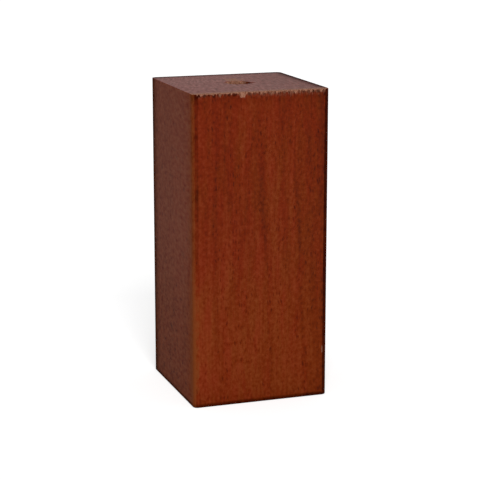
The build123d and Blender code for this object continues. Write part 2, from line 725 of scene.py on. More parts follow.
@dataclass(frozen=True)
class SawnFaceMarks:
    """Where the mounting face is pale or dark: round its torn rim, along its edges, with a painted highlight
    on the left edge and painted shade on the far ones, and to the right.
    """

    torn: Span = (0.05 * MM, 0.20 * MM)
    rim_dark: float = 0.48
    right_dark: float = 0.09
    right_climb: Span = (2.0 * MM, 16.0 * MM)
    edge_width: float = 1.6 * MM
    front_edge: Wave = Wave((1.9, 3.3, 0.9), 0.3, low=0.18, gain=0.22)
    front_left_end: Fade = Fade(0.35, 3.0 * MM)
    front_band: Fade = Fade(0.53, 5.0 * MM)
    # a painted highlight along the left edge, and painted shade along the far edges
    left_edge_highlight: float = 0.20
    far_shade_width: float = 2.5 * MM
    front_spares: float = 0.6  # the share of the far edges' dark that the front edge keeps off

    def bare(self, half: float, plane: Array, lift: Array, pale: Array) -> Array:
        """Raw wood in the pale part of the torn rim and along the front edge, and a painted highlight along
        the left edge, all as bells.

        Args:
            half: how far the face goes from its middle.
            plane: its points in plan, in metres.
            lift: how far it is torn down at each, in metres.
            pale: how pale the rim's broken wood is.

        Returns:
            The mask.
        """
        from_left, from_front = plane[..., 0] + half, plane[..., 1] + half
        edge = self.front_edge.at(plane[..., 0] / MM) + self.front_left_end.at(from_left)
        at_front = bell(from_front, self.edge_width) * edge + self.front_band.at(from_front)
        # painted highlight along the left edge
        at_left = self.left_edge_highlight * bell(from_left, self.edge_width)
        return np.maximum(smoothstep(*self.torn, lift) * pale, np.maximum(at_front, at_left))

    def soaked_and_shaded(self, half: float, plane: Array, lift: Array, pale: Array) -> Array:
        """Darker: in the rest of the torn rim, painted shade along the far edges, and faintly to the right.

        Args:
            half: how far the face goes from its middle.
            plane: its points in plan, in metres.
            lift: how far it is torn down at each, in metres.
            pale: how pale the rim's broken wood is.

        Returns:
            The mask.
        """
        x, y = plane[..., 0], plane[..., 1]
        rim = self.rim_dark * smoothstep(*self.torn, lift) * (1.0 - pale)
        right = self.right_dark * smoothstep(*self.right_climb, x)
        # painted shade along the far edges
        far = np.maximum(bell(half - x, self.far_shade_width), bell(half - y, self.far_shade_width))
        spared = 1.0 - self.front_spares * bell(y + half, self.far_shade_width)
        return np.maximum(np.maximum(rim, right), far * spared)


@dataclass
class FootBlock:
    """The foot itself, as one closed skin of rings and columns.

    The rings start at the middle of the floor face, go out and up the wall, in over the mounting face and
    down the bore to the drill's point. Steps are in millimetres, other lengths in metres.
    """

    low: Vector
    high: Vector
    bore: BoreMouth
    arris_radius: float = 1.5 * MM
    floor_edge: float = 0.3 * MM
    mounting_edge: float = 0.10 * MM
    nick_place: float = 20.85 * MM
    nick_height: float = 15.5 * MM
    nick_length: float = 3.0 * MM
    nick_width: float = 0.5 * MM
    nick_depth: float = 0.22 * MM
    nick_pale: float = 0.75
    nick_edge: float = 0.08 * MM  # the dent at which it is wholly pale
    nick_rings: int = 17
    nick_stretch: float = 0.6  # how far up and down its close rings go, as a share of its length
    nick_gap: float = 0.2 * MM
    wall_rings: int = 62
    torn_rings: int = 22
    torn_stretch: float = 2.0 * MM
    floor_steps: tuple[float, ...] = (0.4, 0.8, 1.2)
    floor_shares: tuple[float, ...] = (0.04, 0.15, 0.3, 0.45, 0.6, 0.75, 0.88, 0.95, 0.98)
    floor_edge_rings: int = 6
    mounting_edge_rings: int = 4
    mounting_steps: tuple[float, ...] = (0.25, 0.55, 0.95, 1.5, 2.3, 3.3, 4.5, 6.0, 8.0)
    mounting_rings: int = 13
    collar: float = 2.4 * MM
    collar_rings: int = 19
    first_sawn_ring: int = 2
    sharp_angle: float = 38.0
    thin_turn: Span = (0.6, 0.95)  # how far to a side a column faces where the stain starts to thin
    gathered_and_shaded: GatheredStainAndShade = GatheredStainAndShade()
    rubbed: RubbedStain = RubbedStain()
    figure: BlockFigureAndShade = BlockFigureAndShade()
    face_marks: SawnFaceMarks = SawnFaceMarks()
    outline: Outline = field(init=False)
    torn_edge: TornEdge = field(init=False)

    def __post_init__(self) -> None:
        """Lays out the columns and the torn edge."""
        self.outline = Outline((self.high.x - self.low.x) / 2, self.arris_radius)
        self.torn_edge = TornEdge(self.outline.reach)

    def nick_dent(self, place: Array, height: Array) -> Array:
        """How far the front-right arris is dented by its knock: a dome over a long oval.

        Args:
            place: across the front face from its middle, in metres.
            height: above the floor, in metres.

        Returns:
            The depth, in metres.
        """
        across = (place - self.nick_place) / (self.nick_width / 2)
        along = (height - self.nick_height) / (self.nick_length / 2)
        return self.nick_depth * np.clip(1.0 - across**2 - along**2, 0.0, None)

    def wall_heights(self) -> Array:
        """The wall's rings: wide apart on the plain stretch, close at the knock and at the torn top.

        Returns:
            Their heights from the bottom up, in metres.
        """
        bottom, top = self.floor_edge, self.high.z - self.mounting_edge
        knock = self.nick_length * self.nick_stretch
        torn_from = top - self.torn_stretch
        plain = np.linspace(bottom, torn_from, self.wall_rings)
        plain = plain[np.abs(plain - self.nick_height) > knock + self.nick_gap]
        near_knock = np.linspace(self.nick_height - knock, self.nick_height + knock, self.nick_rings)
        near_floor = bottom + np.array(self.floor_steps) * MM
        near_top = np.linspace(torn_from, top, self.torn_rings)
        return np.unique(np.concatenate([plain, near_knock, near_floor, near_top]))

    def _blank(self, rings: int) -> dict[Mask, Array]:
        """Masks of nothing for a band of that many rings."""
        return {mask: np.zeros((rings, len(self.outline.point))) for mask in Mask}

    def _floor_face(self) -> tuple[Array, dict[Mask, Array]]:
        """The floor face and its eased arris: the outline shrunk to the middle, then a quarter circle.

        Returns:
            Points and masks.
        """
        inner = self.outline.point - self.floor_edge * self.outline.normal
        count = len(self.floor_shares)
        flat = inner[None] * np.array(self.floor_shares)[:, None, None]
        turn = np.linspace(0.0, math.pi / 2, self.floor_edge_rings)[:-1]
        inset = self.floor_edge * (1.0 - np.sin(turn))
        edge = self.outline.point[None] - inset[:, None, None] * self.outline.normal[None]
        heights = np.concatenate([np.zeros(count), self.floor_edge * (1.0 - np.cos(turn))])
        masks = self._blank(len(heights))
        masks[Mask.SAWN][:count] = 1.0
        # painted contact shade: the floor face's outer ring and its eased arris are wholly dark
        masks[Mask.SOAK][count - 1 :] = 1.0
        return with_heights(np.concatenate([flat, edge]), heights[:, None]), masks

    def _wall(self) -> tuple[Array, dict[Mask, Array]]:
        """The four sides and their arrises, up to the mounting face's edge: the outline, less its depths.

        Returns:
            Points and masks.
        """
        heights = self.wall_heights()[:, None]
        point, normal = self.outline.point, self.outline.normal
        x, front = point[:, 0][None], self.outline.is_front[None]
        drop = self.high.z - heights
        dent = self.nick_dent(x, heights) * (normal[:, 1] < 0.0)
        depth = self.torn_edge.depth(x, drop) * front + dent
        plane = point[None] - normal[None] * depth[:, :, None]
        knocked = self.nick_pale * smoothstep(0.0, self.nick_edge, dent)
        torn = self.torn_edge.soaked_and_shaded(x, drop) * front
        masks = self._blank(len(heights))
        masks[Mask.BARE] = np.maximum(self.torn_edge.bare(x, drop) * front, knocked)
        masks[Mask.SOAK] = self.gathered_and_shaded.mask(self.outline, heights, drop, torn)
        masks[Mask.WEAR] = self.rubbed.mask(self.outline, heights)
        masks[Mask.FIGURE] = self.figure.mask(self.outline, heights)
        masks[Mask.THIN][:] = smoothstep(*self.thin_turn, np.abs(normal[:, 0]))
        return with_heights(plane, heights), masks

    def _mounting_face(self) -> tuple[Array, dict[Mask, Array]]:
        """The mounting face, from its torn outline in to the bore's mouth.

        Rings near the outline follow it, rings near the bore are circles, and those between are shares of
        the way along each column's ray from the axis.

        Returns:
            Points and masks.
        """
        point, normal, ray = self.outline.point, self.outline.normal, self.outline.ray
        torn = self.torn_edge.depth(point[:, 0], np.zeros(len(point))) * self.outline.is_front
        edge = point - normal * torn[:, None]
        turn = np.linspace(0.0, math.pi / 2, self.mounting_edge_rings)
        steps = np.array(self.mounting_steps) * MM
        insets = np.concatenate([self.mounting_edge * (1.0 - np.cos(turn)), steps])
        drops = np.concatenate([self.mounting_edge * (1.0 - np.sin(turn)), np.zeros(len(steps))])
        outer = edge[None] * (1.0 - insets / self.outline.half)[:, None, None]
        rim = ray * (self.bore.radius + self.collar)
        shares = np.linspace(0.0, 1.0, self.mounting_rings)[1:, None, None]
        middle = outer[-1][None] * (1.0 - shares) + rim[None] * shares
        reaches = np.linspace(self.collar, 0.0, self.collar_rings)[1:]
        inner = ray[None] * (self.bore.radius + reaches)[:, None, None]
        plane = np.concatenate([outer, middle, inner])
        lift = self.bore.drop(self.outline.angle[None], np.linalg.norm(plane, axis=2) - self.bore.radius)
        height = self.high.z - lift
        height[: len(drops)] -= drops[:, None]
        marked = (self.outline.half, plane, lift, self.bore.pale(self.outline.angle)[None])
        masks = self._blank(len(plane))
        masks[Mask.SAWN][self.first_sawn_ring :] = 1.0
        masks[Mask.BARE] = np.maximum(self.face_marks.bare(*marked), self.bore.scuff(plane))
        masks[Mask.SOAK] = self.face_marks.soaked_and_shaded(*marked)
        return with_heights(plane, height), masks

    def _bore(self) -> tuple[Array, dict[Mask, Array]]:
        """The inside of the bore.

        Returns:
            Points and masks.
        """
        plane, height, marked = self.bore.inside(self.outline.angle, self.outline.ray, self.high.z)
        return with_heights(plane, height), self._blank(len(height)) | marked

    def build(self, finish: "StainedBeech") -> bpy.types.Object:
        """Joins the rings into a closed mesh, hangs the masks on it and gives it its finish.

        Args:
            finish: the wood's finish.

        Returns:
            The block, at the origin.
        """
        bands = [self._floor_face(), self._wall(), self._mounting_face(), self._bore()]
        rings = np.concatenate([band[0] for band in bands])
        floor_pole = np.array([[0.0, 0.0, self.low.z]])
        bore_pole = np.array([[0.0, 0.0, self.high.z - self.bore.wall - self.bore.point_depth]])
        vertices = np.concatenate([floor_pole, rings.reshape(-1, 3), bore_pole])
        mesh = mesh_from(f"{PIECE_NAME}_mesh", vertices, closed_skin(*rings.shape[:2]))
        for mask in Mask:
            values = np.concatenate([band[1][mask] for band in bands])
            flat = np.concatenate([[values[0].mean()], values.ravel(), [values[-1].mean()]])
            attribute = mesh.attributes.new(mask.value, "FLOAT", "POINT")
            attribute.data.foreach_set("value", flat.astype(np.float32))
        mesh.set_sharp_from_angle(angle=math.radians(self.sharp_angle))
        mesh.materials.append(finish.material())
        return in_scene(PIECE_NAME, mesh)


def with_heights(plane: Array, heights: Array) -> Array:
    """Points from their place in plan and their height, which may be shared by a whole ring."""
    return np.concatenate([plane, np.broadcast_to(heights, plane.shape[:2])[:, :, None]], axis=2)


def open_skin(rings: int, columns: int) -> list[Array]:
    """Faces of a skin of rings that close round on themselves and start from a pole.

    Vertex 0 is the pole, and the rings follow one after another. A quad joins column j to j + 1 on rings i
    and i + 1. With columns against the clock from above, rings that go up face outwards, and on a flat disc
    that widens from its pole they face down.

    Args:
        rings: how many rings.
        columns: how many points in each.

    Returns:
        The quads and the fan of triangles, as arrays of vertex numbers.
    """
    column = np.arange(columns)
    following = (column + 1) % columns
    base = 1 + np.arange(rings - 1)[:, None] * columns
    beyond = base + columns
    quads = np.stack([base + column, base + following, beyond + following, beyond + column], axis=2)
    fan = np.stack([np.zeros(columns, dtype=int), 1 + following, 1 + column], axis=1)
    return [quads.reshape(-1, 4), fan]


def closed_skin(rings: int, columns: int) -> list[Array]:
    """Faces of a skin from a pole, closed at its other end by one more, which is the last vertex.

    Args:
        rings: how many rings.
        columns: how many points in each.

    Returns:
        The quads and both fans of triangles, as arrays of vertex numbers.
    """
    column = np.arange(columns)
    last = 1 + (rings - 1) * columns
    fan = np.stack([last + column, last + (column + 1) % columns, np.full(columns, last + columns)], axis=1)
    return [*open_skin(rings, columns), fan]


def mesh_from(name: str, vertices: Array, faces: list[Array]) -> bpy.types.Mesh:
    """A smooth-shaded mesh from arrays, filled with no Python loop over its points.

    Args:
        name: the mesh's name.
        vertices: points by three.
        faces: one array of vertex numbers for each size of face.

    Returns:
        The mesh.
    """
    mesh = bpy.data.meshes.new(name)
    loops = np.concatenate([group.ravel() for group in faces]).astype(np.int32)
    sizes = np.concatenate([np.full(len(group), group.shape[1]) for group in faces])
    starts = np.concatenate([[0], np.cumsum(sizes)[:-1]]).astype(np.int32)
    mesh.vertices.add(len(vertices))
    mesh.vertices.foreach_set("co", vertices.astype(np.float32).ravel())
    mesh.loops.add(len(loops))
    mesh.loops.foreach_set("vertex_index", loops)
    mesh.polygons.add(len(sizes))
    mesh.polygons.foreach_set("loop_start", starts)
    mesh.update(calc_edges=True)
    mesh.validate()
    mesh.polygons.foreach_set("use_smooth", np.ones(len(mesh.polygons), dtype=bool))
    return mesh


def opaque(colour: Colour) -> tuple[float, ...]:
    """A colour with an alpha of 1."""
    return (*colour, 1.0)


def in_scene(name: str, data: bpy.types.ID) -> bpy.types.Object:
    """Makes an object and links it into the scene.

    Args:
        name: the object's name.
        data: its mesh, lamp or camera.

    Returns:
        The object.
    """
    made = bpy.data.objects.new(name, data)
    bpy.context.scene.collection.objects.link(made)
    return made


class Value:
    """A node's number output that takes part in Python expressions: each operator adds a Math node."""

    def __init__(self, graph: "Graph", socket: bpy.types.NodeSocket) -> None:
        """Keeps the output and the graph that it belongs to."""
        self.graph = graph
        self.socket = socket

    def __add__(self, other: "Value | float") -> "Value":
        """self + other."""
        return self.graph.math("ADD", self, other)

    __radd__ = __add__

    def __sub__(self, other: "Value | float") -> "Value":
        """self - other."""
        return self.graph.math("SUBTRACT", self, other)

    def __rsub__(self, other: float) -> "Value":
        """other - self."""
        return self.graph.math("SUBTRACT", other, self)

    def __mul__(self, other: "Value | float") -> "Value":
        """self * other."""
        return self.graph.math("MULTIPLY", self, other)

    __rmul__ = __mul__

    def __truediv__(self, other: "Value | float") -> "Value":
        """self / other."""
        return self.graph.math("DIVIDE", self, other)

    def __pow__(self, other: float) -> "Value":
        """self to the power of other."""
        return self.graph.math("POWER", self, other)


class Graph:
    """A node tree that is built by expressions."""

    def __init__(self, tree: bpy.types.NodeTree) -> None:
        """Empties the tree and keeps it."""
        self.tree = tree
        tree.nodes.clear()

    def node(self, kind: str, settings: dict | None = None, inputs: dict | None = None) -> bpy.types.Node:
        """Adds one node.

        Args:
            kind: the node's type.
            settings: what is set on the node itself, first; stops are a ramp's places and colours.
            inputs: for each socket, by name or number, a value, a Value or an output to link.

        Returns:
            The node.
        """
        made = self.tree.nodes.new(kind)
        for name, value in (settings or {}).items():
            if name == "stops":
                self._set_stops(made.color_ramp, value)
            else:
                setattr(made, name, value)
        for key, value in (inputs or {}).items():
            source = value.socket if isinstance(value, Value) else value
            socket = made.inputs[key]
            if isinstance(source, bpy.types.NodeSocket):
                self.tree.links.new(source, socket)
            else:
                socket.default_value = opaque(source) if socket.type == "RGBA" else source
        return made

    @staticmethod
    def _set_stops(ramp: bpy.types.ColorRamp, stops: tuple[tuple[float, Colour], ...]) -> None:
        """Gives a ramp its stops.

        Args:
            ramp: the ramp, which starts with one at each end.
            stops: for each, its place from 0 to 1 and its linear colour.
        """
        for place, _ in stops[1:-1]:
            ramp.elements.new(place)
        for element, (place, colour) in zip(ramp.elements, stops):
            element.position = place
            element.color = opaque(colour)

    def math(self, operation: str, *terms: "Value | float") -> Value:
        """A Math node on up to three numbers, as a Value."""
        made = self.node("ShaderNodeMath", {"operation": operation}, dict(enumerate(terms)))
        return Value(self, made.outputs[0])

    def step(self, value: Value, low: float, high: float) -> Value:
        """The soft step of smoothstep, as a Map Range node.

        Args:
            value: the number to step.
            low: where the step starts.
            high: where it ends.

        Returns:
            The stepped number, from 0 to 1.
        """
        inputs = {"Value": value, "From Min": low, "From Max": high, "To Min": 0.0, "To Max": 1.0}
        made = self.node("ShaderNodeMapRange", {"interpolation_type": "SMOOTHSTEP"}, inputs)
        return Value(self, made.outputs["Result"])

    def mix(
        self, share: "Value | float", first: object, second: object, blend: str = "MIX"
    ) -> bpy.types.NodeSocket:
        """A colour between two, by share, or the first blended with that share of the second."""
        settings = {"data_type": "RGBA", "blend_type": blend}
        return self.node("ShaderNodeMix", settings, {0: share, 6: first, 7: second}).outputs[2]

    def vector(self, x: "Value | float", y: "Value | float", z: "Value | float") -> bpy.types.NodeSocket:
        """A vector from three numbers."""
        return self.node("ShaderNodeCombineXYZ", None, {0: x, 1: y, 2: z}).outputs[0]

    def place(self, scale: float) -> tuple[Value, Value, Value]:
        """The object's own x, y and z at this point, times a scale.

        Args:
            scale: what one metre becomes.

        Returns:
            The three numbers.
        """
        place = self.node("ShaderNodeTexCoord").outputs["Object"]
        parts = self.node("ShaderNodeSeparateXYZ", None, {0: place}).outputs
        x, y, z = (Value(self, part) * scale for part in parts)
        return x, y, z

    def noise(self, place: bpy.types.NodeSocket, detail: float, roughness: float = 0.5) -> Value:
        """Noise of unit scale at a place, less its mean, so that it goes both ways from nought."""
        inputs = {"Vector": place, "Scale": 1.0, "Detail": detail, "Roughness": roughness}
        return Value(self, self.node("ShaderNodeTexNoise", None, inputs).outputs[0]) - NOISE_MEAN

    def mask(self, mask: Mask) -> Value:
        """One of the block's point attributes."""
        made = self.node("ShaderNodeAttribute", {"attribute_name": mask.value})
        return Value(self, made.outputs["Fac"])


def new_material(name: str) -> tuple[bpy.types.Material, Graph]:
    """Makes an empty material.

    Args:
        name: the material's name.

    Returns:
        The material, and the graph of its nodes.
    """
    made = bpy.data.materials.new(name)
    made.use_nodes = True
    return made, Graph(made.node_tree)


@dataclass(frozen=True)
class Grain:
    """One noise that fills the wood: its changes per millimetre outwards, around and along the tree.

    Start moves it round the tree. One that doesn't change along the grain is read at one level of it.
    """

    out: float
    around: float
    along: float
    detail: float
    roughness: float = 0.5
    start: float = 0.0
    level: float = 0.0

    def noise(self, graph: Graph, place: WoodPlace) -> Value:
        """The noise at a place in the wood.

        Args:
            graph: the material's nodes.
            place: the way out from the pith, the way round it and the way along it, in millimetres.

        Returns:
            The noise, about nought.
        """
        out, around, along = place
        turned = around * self.around + self.start if self.start else around * self.around
        height = along * self.along if self.along else self.level
        return graph.noise(graph.vector(out * self.out, turned, height), self.detail, self.roughness)


@dataclass(frozen=True)
class Rays:
    """The rays: ribbons that run outwards, thin around and low along, one in each Voronoi cell.

    A cell's size is in millimetres. Its ribbon reaches so far from its middle, in shares of a cell.
    """

    width: float = 0.90
    height: float = 3.0
    least: float = 0.22  # how far the thinnest ribbon reaches
    more: float = 0.22  # how much further the thickest does
    edge: float = 0.32
    dark_least: float = 0.2
    dark_more: float = 0.8
    sway: float = 4.0
    swaying: Grain = Grain(0.10, 0.05, 0.11, 1.0)
    crowding: Grain = Grain(0.1, 0.30, 0.05, 1.0)
    crowd_edge: Span = (-0.16, 0.16)
    crowd_least: float = 0.45
    crowd_more: float = 1.1

    def dark(self, graph: Graph, place: WoodPlace) -> Value:
        """How dark the ray is here, and how thickly the rays stand.

        A ribbon is dark where its own reach is more than the distance from the cell's middle. The whole
        sheaf wanders a little on its way out from the pith.

        Args:
            graph: the material's nodes.
            place: the way out from the pith, the way round it and the way along it.

        Returns:
            The darkness, from 0.
        """
        _, around, along = place
        bend = self.swaying.noise(graph, place) * self.sway
        section = graph.vector((around + bend) / self.width, along / self.height, 0.0)
        settings, inputs = {"voronoi_dimensions": "2D"}, {"Vector": section, "Scale": 1.0, "Randomness": 1.0}
        cells = graph.node("ShaderNodeTexVoronoi", settings, inputs).outputs
        colour = graph.node("ShaderNodeSeparateColor", None, {0: cells["Color"]}).outputs
        size, dark = (Value(graph, colour[number]) for number in (0, 1))
        inside = graph.step(size * self.more + self.least - Value(graph, cells["Distance"]), 0.0, self.edge)
        crowd = graph.step(self.crowding.noise(graph, place), *self.crowd_edge)
        thickly = crowd * self.crowd_more + self.crowd_least
        return inside * (dark * self.dark_more + self.dark_least) * thickly


@dataclass(frozen=True)
class WoodPattern:
    """What the wood and the masks are like at a point, as node outputs that the finish reads.

    The noises go both ways from nought. The ticks, the pores and the bare wood go up from it.
    """

    place: WoodPlace
    masks: dict[Mask, Value]
    ticks: Value
    fibre: Value
    speckle: Value
    pores: Value
    mottle: Value
    speck: Value
    bare: Value


@dataclass(frozen=True)
class StainedBeech:
    """Beech under a red-brown stain and a satin lacquer. Lengths in millimetres, colours linear.

    The figure is solid: every pattern is a function of the distance from the tree's pith, the way round it
    and the way along it, so that each face shows the cut that it has. The front is flat-sawn and shows the
    rays as short dark ticks, the two sides show them as low patches, and the ends as fine spokes.
    """

    # the stain by its tone, the wood under it, and the two hues that it turns between
    stain_dark: Colour = (0.042, 0.0028, 0.0003)
    stain_middle: Colour = (0.150, 0.0155, 0.0006)
    stain_light: Colour = (0.240, 0.0430, 0.0100)
    raw_wood: Colour = (0.325, 0.148, 0.092)
    raw_shade: Colour = (0.185, 0.070, 0.040)
    rubbed: Colour = (0.188, 0.046, 0.011)
    redder: Colour = (1.03, 0.85, 1.00)
    browner: Colour = (0.97, 1.17, 1.00)
    # black, mixed in by half of the soak mask, for dark stain and painted shade
    soaked_and_shaded: Colour = (0.0, 0.0, 0.0)

    # the tree: where its pith lies, how its grain wanders, and its year's rings
    pith_x: float = 9.0
    pith_y: float = 78.0
    mean_radius: float = 95.0
    wander: float = 5.0
    wander_across: float = 0.03
    wander_along: float = 0.012
    wander_detail: float = 1.0
    wander_apart: float = 40.0  # what sets the wander to one side apart from that to the other
    ring_pitch: float = 2.7
    ring_power: float = 4.0
    ring_end: Span = (0.94, 1.0)

    # the patterns that fill the wood
    rays: Rays = Rays()
    fibre: Grain = Grain(1.5, 1.5, 0.05, 2.0, 0.55)
    speckle: Grain = Grain(0.25, 1.0, 0.85, 2.0, 0.60)
    drift: Grain = Grain(0.12, 0.17, 0.022, 2.0)
    pore: Grain = Grain(6.0, 6.0, 0.6, 1.0)
    pore_edge: Span = (0.12, 0.24)
    mottle: Grain = Grain(0.32, 0.85, 0.0, 3.0, 0.6, level=7.0)
    speck: Grain = Grain(2.0, 2.3, 0.8, 3.0, 0.65)
    hue: Grain = Grain(0.3, 0.42, 0.07, 3.0, start=70.0)

    # the tone, and what each pattern and mask adds to it or takes from it
    middle_tone: float = 0.55
    speckle_tone: float = 0.68
    fibre_tone: float = 0.38
    drift_tone: float = 0.18
    ring_tone: float = 0.10
    ring_mean: float = 0.9
    figure_and_shade_tone: float = 0.20
    tick_tone: float = 0.24
    tick_lost_on_ends: float = 0.8
    pore_tone: float = 0.08
    soak_and_shade_tone: float = 0.34
    mottle_tone: float = 0.85
    sawn_tone: float = 0.10

    # the turn of the hue, and where the stain is thin, darkened by stain and painted shade, rubbed or gone
    hue_share: float = 0.7
    hue_east: float = 0.0032
    hue_up: float = 0.0013
    hue_level: float = 50.0
    hue_edge: Span = (-0.18, 0.18)
    thin_share: float = 0.44
    thin_speckle: float = 1.5
    soaked_and_shaded_share: float = 0.5
    rubbed_speck: float = 1.1
    rubbed_edge: Span = (0.30, 0.80)
    rubbed_share: float = 0.75
    raw_edge: Span = (-0.15, 0.12)
    bare_speck: float = 0.7
    bare_edge: Span = (0.18, 0.80)

    # the lacquer's gloss, and what takes from it
    side_gloss: float = 0.145
    end_gloss: float = 0.365
    low_loss: float = 0.28
    low_climb: Span = (15.0, 58.0)
    bare_loss: float = 0.6
    soak_and_shade_loss: float = 0.85
    wear_loss: float = 0.7
    thin_loss: float = 0.12
    mottle_gloss: float = 2.0
    speckle_gloss: float = 0.8
    gloss_roughness: float = 0.34
    gloss_ior: float = 1.5
    roughness: float = 0.68
    fibre_roughness: float = 0.12

    # the relief, and what each pattern adds to it or takes from it
    bump_strength: float = 0.5
    bump_depth: float = 0.03
    speckle_relief: float = 0.25
    fibre_relief: float = 0.4
    tick_relief: float = 0.4
    pore_relief: float = 0.5
    bare_relief: float = 2.5

    def material(self) -> bpy.types.Material:
        """Builds the finish.

        Returns:
            The material.
        """
        made, graph = new_material("stained_beech")
        pattern = self._pattern(graph)
        relief = {"Distance": self.bump_depth * MM, "Height": self._relief(pattern)}
        bump = graph.node("ShaderNodeBump", None, relief | {"Strength": self.bump_strength})
        sockets = {
            "Base Color": self._colour(graph, pattern),
            "Roughness": self.roughness + pattern.fibre * self.fibre_roughness,
            "Specular IOR Level": 0.0,
            "Coat Weight": self._gloss(graph, pattern),
            "Coat Roughness": self.gloss_roughness,
            "Coat IOR": self.gloss_ior,
            "Normal": bump.outputs["Normal"],
        }
        shader = graph.node("ShaderNodeBsdfPrincipled", None, sockets)
        graph.node("ShaderNodeOutputMaterial", None, {"Surface": shader.outputs[0]})
        return made

    def _wood_place(self, graph: Graph) -> WoodPlace:
        """Where a point lies in the tree, with a slow wander so that no line is dead straight.

        Args:
            graph: the material's nodes.

        Returns:
            The way out from the pith, the way round it at the mean radius, and the way along it.
        """
        x, y, along = graph.place(1.0 / MM)
        across, up = self.wander_across, self.wander_along
        place = graph.vector(x * across, y * across, along * up)
        apart = graph.vector(x * across + self.wander_apart, y * across, along * up)
        wave_x, wave_y = (graph.noise(spot, self.wander_detail) for spot in (place, apart))
        east = x - self.pith_x + wave_x * self.wander
        south = self.pith_y - y + wave_y * self.wander
        out = graph.math("SQRT", east * east + south * south)
        around = graph.math("ARCTAN2", east, south) * self.mean_radius
        return out, around, along

    def _pattern(self, graph: Graph) -> WoodPattern:
        """Everything that the finish reads: each noise of the wood, the rays and the block's masks.

        Args:
            graph: the material's nodes.

        Returns:
            The pattern.
        """
        place = self._wood_place(graph)
        masks = {mask: graph.mask(mask) for mask in Mask}
        speck = self.speck.noise(graph, place)
        return WoodPattern(
            place=place,
            masks=masks,
            ticks=self.rays.dark(graph, place),
            fibre=self.fibre.noise(graph, place),
            speckle=self.speckle.noise(graph, place),
            pores=graph.step(self.pore.noise(graph, place), *self.pore_edge),
            mottle=self.mottle.noise(graph, place),
            speck=speck,
            bare=graph.step(masks[Mask.BARE] + speck * self.bare_speck, *self.bare_edge),
        )

    def _rings(self, graph: Graph, out: Value) -> Value:
        """A year's growth: pale, then darker to a fine line. The share of a ring's width, to a power."""
        share = graph.math("FRACT", out / self.ring_pitch)
        return 1.0 - (share**self.ring_power) * (1.0 - graph.step(share, *self.ring_end))

    def _tone(self, graph: Graph, pattern: WoodPattern) -> Value:
        """How light the stain is: a middle tone, and each pattern's and mask's own share on top.

        Args:
            graph: the material's nodes.
            pattern: the wood at this point.

        Returns:
            The tone, from 0, dark, to 1, light.
        """
        masks, sawn = pattern.masks, pattern.masks[Mask.SAWN]
        drift = self.drift.noise(graph, pattern.place)
        rings = self._rings(graph, pattern.place[0]) - self.ring_mean
        tone = self.middle_tone + pattern.speckle * self.speckle_tone + pattern.fibre * self.fibre_tone
        tone = tone + drift * self.drift_tone + rings * self.ring_tone
        tone = tone + masks[Mask.FIGURE] * self.figure_and_shade_tone
        tone = tone - pattern.ticks * (1.0 - sawn * self.tick_lost_on_ends) * self.tick_tone
        # the soak mask darkens the tone, for dark stain and painted shade
        tone = tone - pattern.pores * self.pore_tone - masks[Mask.SOAK] * self.soak_and_shade_tone
        return tone + (pattern.mottle * self.mottle_tone - self.sawn_tone) * sawn

    def _colour(self, graph: Graph, pattern: WoodPattern) -> bpy.types.NodeSocket:
        """The wood's colour: the stain by its tone, turned in hue, thinned, darkened and rubbed, or raw.

        Args:
            graph: the material's nodes.
            pattern: the wood at this point.

        Returns:
            The colour.
        """
        masks = pattern.masks
        stops = ((0.0, self.stain_dark), (0.5, self.stain_middle), (1.0, self.stain_light))
        tone = self._tone(graph, pattern)
        stain = graph.node("ShaderNodeValToRGB", {"stops": stops}, {"Fac": tone}).outputs["Color"]
        east, _, height = graph.place(1.0 / MM)
        turn = self.hue.noise(graph, pattern.place) * self.hue_share + east * self.hue_east
        turn = turn - (height - self.hue_level) * self.hue_up
        hue = graph.mix(graph.step(turn, *self.hue_edge), self.redder, self.browner)
        stain = graph.mix(1.0, stain, hue, "MULTIPLY")
        thin = masks[Mask.THIN] * (pattern.speckle * self.thin_speckle + self.thin_share)
        stain = graph.mix(thin, stain, self.rubbed)
        # painted shade and dark stain: the soak mask mixes in black
        stain = graph.mix(masks[Mask.SOAK] * self.soaked_and_shaded_share, stain, self.soaked_and_shaded)
        rubbed = graph.step(masks[Mask.WEAR] + pattern.speck * self.rubbed_speck, *self.rubbed_edge)
        worn = graph.mix(rubbed * self.rubbed_share, stain, self.rubbed)
        shade = graph.step(pattern.speck, *self.raw_edge)
        raw = graph.mix(shade, self.raw_shade, self.raw_wood)
        return graph.mix(pattern.bare, worn, raw)

    def _gloss(self, graph: Graph, pattern: WoodPattern) -> Value:
        """How much the lacquer shines: more on the sawn ends, less near the floor and where it is broken.

        Args:
            graph: the material's nodes.
            pattern: the wood at this point.

        Returns:
            The coat's weight.
        """
        masks = pattern.masks
        on_ends = masks[Mask.SAWN] * (self.end_gloss - self.side_gloss)
        gloss = on_ends * (pattern.mottle * self.mottle_gloss + 1.0) + self.side_gloss
        climb = graph.step(pattern.place[2], *self.low_climb)
        gloss = gloss * (climb * self.low_loss + (1.0 - self.low_loss))
        gloss = gloss * (1.0 - pattern.bare * self.bare_loss) * (1.0 - masks[Mask.SOAK] * self.soak_and_shade_loss)
        gloss = gloss * (1.0 - masks[Mask.WEAR] * self.wear_loss) * (1.0 - masks[Mask.THIN] * self.thin_loss)
        return gloss * (pattern.speckle * self.speckle_gloss + 1.0)

    def _relief(self, pattern: WoodPattern) -> Value:
        """The surface's fine relief: raised grain, less the rays and the pores, and rough raw wood.

        Args:
            pattern: the wood at this point.

        Returns:
            The height, in bump depths.
        """
        grain = pattern.speckle * self.speckle_relief + pattern.fibre * self.fibre_relief
        sunk = grain - pattern.ticks * self.tick_relief - pattern.pores * self.pore_relief
        return sunk + pattern.bare * (pattern.speck + NOISE_MEAN) * self.bare_relief


